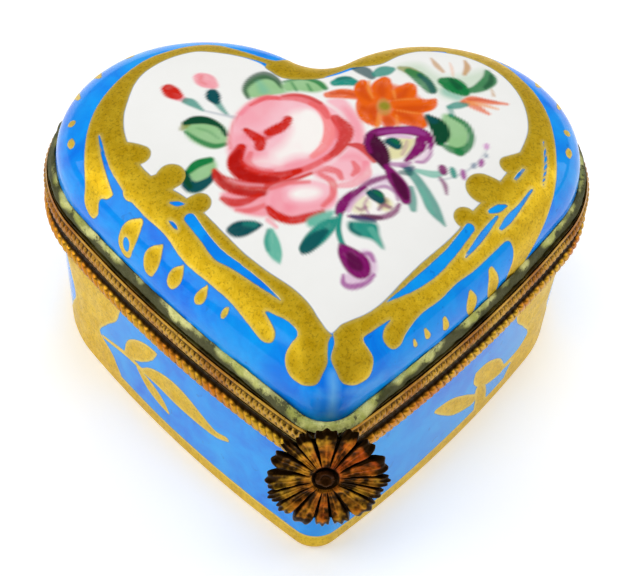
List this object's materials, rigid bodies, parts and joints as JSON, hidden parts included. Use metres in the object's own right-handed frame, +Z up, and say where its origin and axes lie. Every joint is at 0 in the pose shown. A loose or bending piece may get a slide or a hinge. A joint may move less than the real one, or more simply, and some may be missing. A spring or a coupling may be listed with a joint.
{
  "type": "porcelain trinket box",
  "caption": "Heart-shaped hinged porcelain trinket box with a domed painted lid, brass bezels, a knuckle hinge in the cleft and a flower clasp at the tip.",
  "frame": {"origin": "middle of the box's footprint rectangle, on the table", "axes": "+Z up, -Y towards the tip of the heart and its clasp, +X to the right seen from the clasp"},
  "size_m": [0.0502, 0.0486, 0.0278],
  "materials": {
    "painted_porcelain": "hand-painted overglaze blue with matt gold and a white reserve, glossy",
    "bedding_cement": "pale olive set cement, lumpy and matt",
    "bezel_brass": "gilt brass, darkened in the corners",
    "moulding_brass": "aged gilt brass with brown recesses",
    "hinge_brass": "satin aged brass",
    "clasp_brass": "heavily patinated stamped brass"
  },
  "bodies": {
    "base": {"base_cup": "painted_porcelain", "base_cement": "bedding_cement", "base_rim": "bezel_brass", "base_rope": "moulding_brass", "inner_collar": "bezel_brass", "hinge_base_leaf": "hinge_brass", "hinge_tube_left": "hinge_brass", "hinge_tube_right": "hinge_brass", "hinge_pin": "hinge_brass", "catch_stud": "clasp_brass"},
    "lid": {"lid_shell": "painted_porcelain", "lid_cement": "bedding_cement", "lid_rim": "bezel_brass", "lid_braid": "moulding_brass", "hinge_lid_leaf": "hinge_brass", "hinge_tube_middle": "hinge_brass", "clasp_tongue": "clasp_brass", "clasp_rosette": "clasp_brass", "rosette_rivet": "clasp_brass"}
  },
  "joints": [
    {"name": "lid_hinge", "type": "hinge", "parent": "base", "child": "lid", "pos_m": [0, 0.02337, 0.0175], "axis": [-1, 0, 0], "range_deg": [0, 100]}
  ]
}
